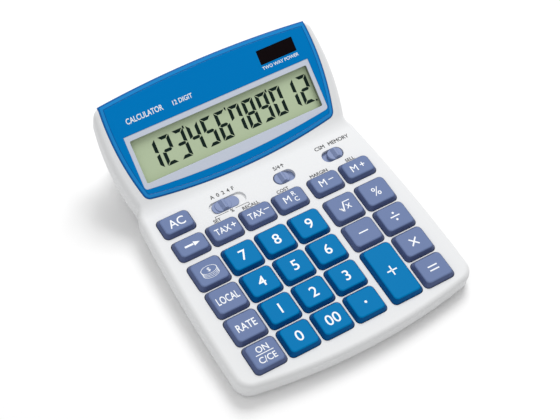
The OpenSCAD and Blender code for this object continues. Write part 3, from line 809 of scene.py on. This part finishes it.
def make_lens():
    """The lens: an outer chamfer in painted shade, a sloping band lighter with a painted highlight, a fine
    groove in painted shade and a flat face.
    """
    lens = lens_plate("blue_lens", 0, -LENS_SEAT, -0.1)
    paint(lens, ACRYLIC_BLUE, ACRYLIC_PAINTED_HIGHLIGHT, ACRYLIC_PAINTED_SHADE)
    # the lens's sides take the third finish, painted shade
    chosen(lens, "FACE", lambda f: abs(f.normal.z) < 0.5)
    tinted(lens, 2)
    done(lens)
    chosen(lens, "FACE", lambda f: f.normal.z > 0.99)
    # each ring comes from insetting the top face: its finish (1 the painted highlight, 2 the painted
    # shade), width and rise
    for index, width, rise in (
        (2, LENS_CHAMFER, 0.3), (1, LENS_BAND, 0.2), (2, LENS_GROOVE, -0.12), (2, 0.15, 0.12),
    ):
        tinted(lens, index)
        bpy.ops.mesh.inset(thickness=width, depth=rise, use_even_offset=True)
    tinted(lens, 0)
    done(lens)
    boolean(lens, frame_plate("opening", -0.03, -5, 3))
    boolean(lens, round_box("opening", SOLAR_SIZE[0], SOLAR_SIZE[1], -5, 3, 0.4, SOLAR_AT))
    place(lens, HEAD)
    return smooth(lens, 8)


def make_frame():
    """The lavender frame, flush in the lens, with walls in painted shade down to the crystal."""
    rim = frame_plate("lavender_frame", 0, -LENS_SEAT - 0.8, FRAME_N)
    paint(rim, ABS_LAVENDER, PAINTED_SHADE_WALL)
    hole = round_box("window", 2 * (FRAME_HALF - FRAME_RIM), WINDOW_HIGH - WINDOW_LOW, -9, 3, 0.8,
        (0, WINDOW_V))
    boolean(rim, hole)
    # the window's inner walls take the second finish, painted shade
    chosen(rim, "FACE", lambda f: abs(f.normal.z) < 0.3 and abs(f.center.x) < FRAME_HALF - 1
        and WINDOW_LOW - 0.4 < f.center.y < WINDOW_HIGH + 0.4)
    tinted(rim, 1)
    done(rim)
    eased(rim, 0.2)
    place(rim, HEAD)
    return smooth(rim, 30)


def make_crystal():
    """The liquid crystal panel: a glass plate just under the window."""
    w, h = 2 * (FRAME_HALF - FRAME_RIM) + 0.8, WINDOW_HIGH - WINDOW_LOW + 0.8
    glass = round_box("crystal_glass", w, h, CRYSTAL_N - 2.6, CRYSTAL_N, 0.6, (0, WINDOW_V))
    eased(glass, 0.15)
    place(glass, HEAD)
    return smooth(glass, 30)


def make_solar():
    """The solar cell: a dark plate in four strips, flush in the lens."""
    cell = round_box("solar_strips", SOLAR_SIZE[0] - 0.1, SOLAR_SIZE[1] - 0.1, -LENS_SEAT - 1, 0.1,
        0.35, SOLAR_AT)
    for i in (-1, 0, 1):
        x = SOLAR_AT[0] + i * SOLAR_SIZE[0] / 4
        boolean(cell, box("gap", (0.2, SOLAR_SIZE[1] + 1, 0.2), (x, SOLAR_AT[1], 0.1)))
    eased(cell, 0.12)
    place(cell, HEAD)
    return smooth(cell, 30)


finish(make_lens(), "display_lens", "housing", "lens")
finish(make_frame(), "lcd_frame", "housing", "bezel")
finish(make_crystal(), "lcd_panel", "housing", "lcd", CRYSTAL)
finish(make_solar(), "solar_cell", "housing", "solar", SILICON)

SEGMENTS = {
    "1": "bc", "2": "abged", "3": "abgcd", "4": "fgbc", "5": "afgcd", "6": "afgedc", "7": "abcf",
    "8": "abcdefg", "9": "abcdfg", "0": "abcdef",
}
DIGIT_PITCH, DIGIT_W, DIGIT_H, SEGMENT_T, SEGMENT_GAP = 8.72, 6.9, 16.0, 2.0, 0.4
LAST_DIGIT_X, DIGITS_V = 50.6, 25.3


def bar_segment(length, inner, outward):
    """A bar of a digit lying along x, longer on its outer side, with mitred ends."""
    obj = box("segment", (length, SEGMENT_T, 0.024), (0, 0, 0))
    for v in obj.data.vertices:
        if v.co.y * outward < 0:
            v.co.x *= inner / length
    return obj


def middle_segment(length):
    """The middle bar of a digit, with pointed ends."""
    obj = box("segment", (length, SEGMENT_T * 0.85, 0.024), (0, 0, 0))
    chosen(obj, "EDGE", lambda e: upright(obj.data, e))
    bpy.ops.mesh.bevel(offset=SEGMENT_T * 0.4, segments=1, affect="EDGES")
    return done(obj)


def upright_segment(side, top):
    """A side bar of a digit: long outside, cut back inside for the bars that it meets."""
    outer_low, outer_high = SEGMENT_GAP / 2, DIGIT_H / 2 - SEGMENT_GAP / 2
    inner_low, inner_high = SEGMENT_T * 0.45 + SEGMENT_GAP / 2, DIGIT_H / 2 - SEGMENT_T - 0.1
    mid = (outer_low + outer_high) / 2
    obj = box("segment", (SEGMENT_T, outer_high - outer_low, 0.024),
        ((DIGIT_W - SEGMENT_T) / 2, mid, 0))
    for v in obj.data.vertices:
        if v.co.x < (DIGIT_W - SEGMENT_T) / 2:
            v.co.y = inner_low if v.co.y < mid else inner_high
    obj.data.transform(Matrix.Diagonal((side, top, 1, 1)))
    return obj


def digit(figure, x, z):
    """One seven-segment figure, its bars lettered round from the top and g across the middle."""
    reach = DIGIT_W - 2 * SEGMENT_GAP
    parts = []
    for s in SEGMENTS[figure]:
        if s in "ad":
            outward = 1 if s == "a" else -1
            bar_piece = bar_segment(reach, DIGIT_W - 2 * SEGMENT_T - SEGMENT_GAP, outward)
            bar_piece.data.transform(
                Matrix.Translation((0, outward * (DIGIT_H - SEGMENT_T * 0.9) / 2, 0))
                @ Matrix.Diagonal((1, 0.9, 1, 1)))
        elif s == "g":
            bar_piece = middle_segment(DIGIT_W - SEGMENT_T)
        else:
            bar_piece = upright_segment(1 if s in "bc" else -1, 1 if s in "bf" else -1)
        parts.append(bar_piece)
    obj = joined("digit", parts)
    obj.data.transform(Matrix.Translation((x, DIGITS_V, z)))
    active(obj)
    bpy.ops.object.mode_set(mode="EDIT")
    bpy.ops.mesh.select_all(action="SELECT")
    bpy.ops.mesh.normals_make_consistent(inside=False)
    return done(obj)


def make_readout():
    z = CRYSTAL_N + 0.03
    parts = []
    for i, figure in enumerate("123456789012"):
        x = LAST_DIGIT_X - (11 - i) * DIGIT_PITCH
        parts.append(digit(figure, x, z))
        if i in (2, 5, 8):
            parts.append(bar("mark", 0.9, 1.3, (x + 3.9, DIGITS_V + 8.0), z))
            parts.append(bar("mark", 0.5, 0.7, (x + 4.1, DIGITS_V + 7.2), z + 0.001))
    parts.append(dot("mark", 1.1, (LAST_DIGIT_X + 4.1, DIGITS_V - 7.9), z))
    readout = joined("readout", parts)
    place(readout, HEAD)
    return readout


finish(make_readout(), None, "housing", "lcd", CRYSTAL_DARK)


# ---- print on the deck and the lens ----
def printed(name, items, plane, ink, slot, bold=0.015):
    parts = []
    z = 0.02 if plane is DECK else LENS_PROUD + 0.02
    for text, size, x, v, wide in items:
        parts.append(lettering("print", text, size, (x, v), z, wide, bold))
        if plane is DECK:
            # struck twice, a little apart, which makes the fine letters bold
            parts.append(lettering("print", text, size, (x + 0.16, v), z + 0.003, wide, bold))
            parts.append(lettering("print", text, size, (x + 0.08, v + 0.1), z + 0.005, wide, bold))
    if plane is DECK:
        # a line on each side of the per cent mark, turned down at its outer end
        line_v = LOWER_V + 2.3
        for near, far in ((DECIMAL_X - 2.2, DECIMAL_X - 10.6), (DECIMAL_X + 2.1, DECIMAL_X + 10.1)):
            parts.append(bar("print", abs(far - near), 0.28, ((near + far) / 2, line_v), z))
            parts.append(bar("print", 0.28, 1.4, (far, line_v - 0.6), z))
    obj = joined(name, parts)
    place(obj, plane)
    finish(obj, None, "housing", slot, ink)


UPPER_CAP, LOWER_CAP = 3.3, 2.75
UPPER_V, LOWER_V = SWITCH_V + 6.8, SWITCH_V - 6.95
printed("deck_print", [
    ("A", UPPER_CAP, DECIMAL_X - 5.8, UPPER_V, 1.0),
    ("0", UPPER_CAP, DECIMAL_X - 2.2, UPPER_V, 1.0),
    ("2", UPPER_CAP, DECIMAL_X + 1.0, UPPER_V, 1.0),
    ("4", UPPER_CAP, DECIMAL_X + 4.1, UPPER_V, 1.0),
    ("F", UPPER_CAP, DECIMAL_X + 7.1, UPPER_V, 1.0),
    ("5/4", UPPER_CAP, ROUNDING_X - 0.9, UPPER_V, 1.0),
    ("↑", UPPER_CAP, ROUNDING_X + 2.7, UPPER_V, 1.0),
    ("CSM", UPPER_CAP, MEMORY_X - 4.3, UPPER_V, 1.0),
    ("MEMORY", UPPER_CAP, MEMORY_X + 8.0, UPPER_V, 0.98),
    ("SET", LOWER_CAP, deck_of("key_tax_plus").x - 0.1, LOWER_V, 1.05),
    ("%", LOWER_CAP * 1.05, DECIMAL_X - 0.3, LOWER_V + 1.8, 1.0),
    ("RECALL", LOWER_CAP, deck_of("key_tax_minus").x + 0.2, LOWER_V, 1.08),
    ("COST", LOWER_CAP, deck_of("key_memory_recall").x - 0.1, LOWER_V, 1.05),
    ("MARGIN", LOWER_CAP, deck_of("key_memory_minus").x + 0.3, LOWER_V, 1.08),
    ("SELL", LOWER_CAP, deck_of("key_memory_plus").x + 0.25, LOWER_V, 1.05),
], DECK, INK_BLACK, "housing", 0.0)
printed("lens_print", [
    ("CALCULATOR", 4.4, -42.0, HEAD_LEN - 17.0, 0.78),
    ("12 DIGIT", 3.6, -19.0, HEAD_LEN - 17.4, 0.9),
    ("TWO WAY POWER", 2.5, SOLAR_AT[0], HEAD_LEN - 19.6, 1.05),
], HEAD, INK_WHITE, "lens")


# ---- the base, its cover and its feet, with softened edges ----
def refined(node, body, slot, finish_of, width, degrees=40):
    """A copy of a CAD part with its facets merged and its edges eased."""
    part = frame["nodes"][node].copy()
    part.data = part.data.copy()
    bpy.context.scene.collection.objects.link(part)
    part.name = node + "_finished"
    active(part)
    bpy.ops.object.mode_set(mode="EDIT")
    bpy.ops.mesh.select_all(action="SELECT")
    bpy.ops.mesh.remove_doubles(threshold=0.002 * MM)
    bpy.ops.mesh.dissolve_limited(angle_limit=math.radians(1))
    done(part)
    eased(part, width * MM, 2, degrees)
    smooth(part, 30)
    return finish(part, node, body, slot, finish_of)


refined("lower_case", "housing", "housing", ABS_WHITE, 0.35)
refined("battery_cover", "battery_door", "housing", ABS_WHITE, 0.25)
refined("rubber_feet", "housing", "foot", RUBBER, 0.4)


# ---- CAD pieces whose shape is right ----
FINISHES = {
    "lcd_clamp": BRACKET, "lcd_ribbon": FILM, "solar_leads": PVC_RED, "main_board": PHENOLIC,
    "chip_blob": EPOXY, "keypad_mat": SILICONE, "battery_cell": STEEL,
    "battery_contact_plus": STEEL, "battery_contact_minus": STEEL, "battery_leads": PVC_BLACK,
    "case_screws": STEEL, "board_screws": STEEL,
    "decimal_switch_contact": BRONZE,
    "rounding_switch_contact": BRONZE, "memory_switch_contact": BRONZE,
}
for node, finish_of in FINISHES.items():
    paint(frame["nodes"][node], finish_of)

# ---- floor, light and camera ----
FLOOR = material("pale floor", "#FBFBFB", 0.9, Specular_IOR_Level=0.0)
deselect()
bpy.ops.mesh.primitive_plane_add(size=6)
floor = named("floor")
paint(floor, FLOOR)


def softbox(name, at, size, power, target=(0, 0, 0.02)):
    bpy.ops.object.light_add(type="AREA", location=at)
    lamp = named(name)
    lamp.data.shape, lamp.data.size, lamp.data.energy = "SQUARE", size, power
    lamp.rotation_mode = "QUATERNION"
    lamp.rotation_quaternion = (Vector(target) - Vector(at)).to_track_quat("-Z", "Y")


deselect()
softbox("main light", (0.6, 0.7, 1.25), 0.8, 15.5)
softbox("fill light", (-0.7, -0.1, 1.3), 1.2, 3.4)
world = bpy.data.worlds.new("studio")
bpy.context.scene.world = world
world.use_nodes = True
world.node_tree.nodes["Background"].inputs["Color"].default_value = (1, 1, 1, 1)
world.node_tree.nodes["Background"].inputs["Strength"].default_value = 0.5
bpy.context.scene.view_settings.view_transform = "Standard"

# The camera stands to the left and front, well above, and is turned a little about its own axis
CAMERA_AT = Vector((-324.8, -263.9, 727.4))
AZIMUTH, ELEVATION, ROLL = (math.radians(a) for a in (42.74, 56.57, 12.4))
forward = Vector((
    math.sin(AZIMUTH) * math.cos(ELEVATION),
    math.cos(AZIMUTH) * math.cos(ELEVATION),
    -math.sin(ELEVATION),
))
level_right = forward.cross(Vector((0, 0, 1))).normalized()
level_up = level_right.cross(forward)
right = level_right * math.cos(ROLL) + level_up * math.sin(ROLL)
up = level_up * math.cos(ROLL) - level_right * math.sin(ROLL)
bpy.ops.object.camera_add()
camera = named("camera")
turn = Matrix((right, up, -forward)).transposed()
camera.rotation_mode = "QUATERNION"
camera.rotation_quaternion = (DECK.to_3x3().normalized() @ turn).to_quaternion()
camera.location = DECK @ CAMERA_AT
camera.data.sensor_width = 36
camera.data.lens = 105.44
camera.data.clip_start, camera.data.clip_end = 0.05, 10
bpy.context.scene.camera = camera
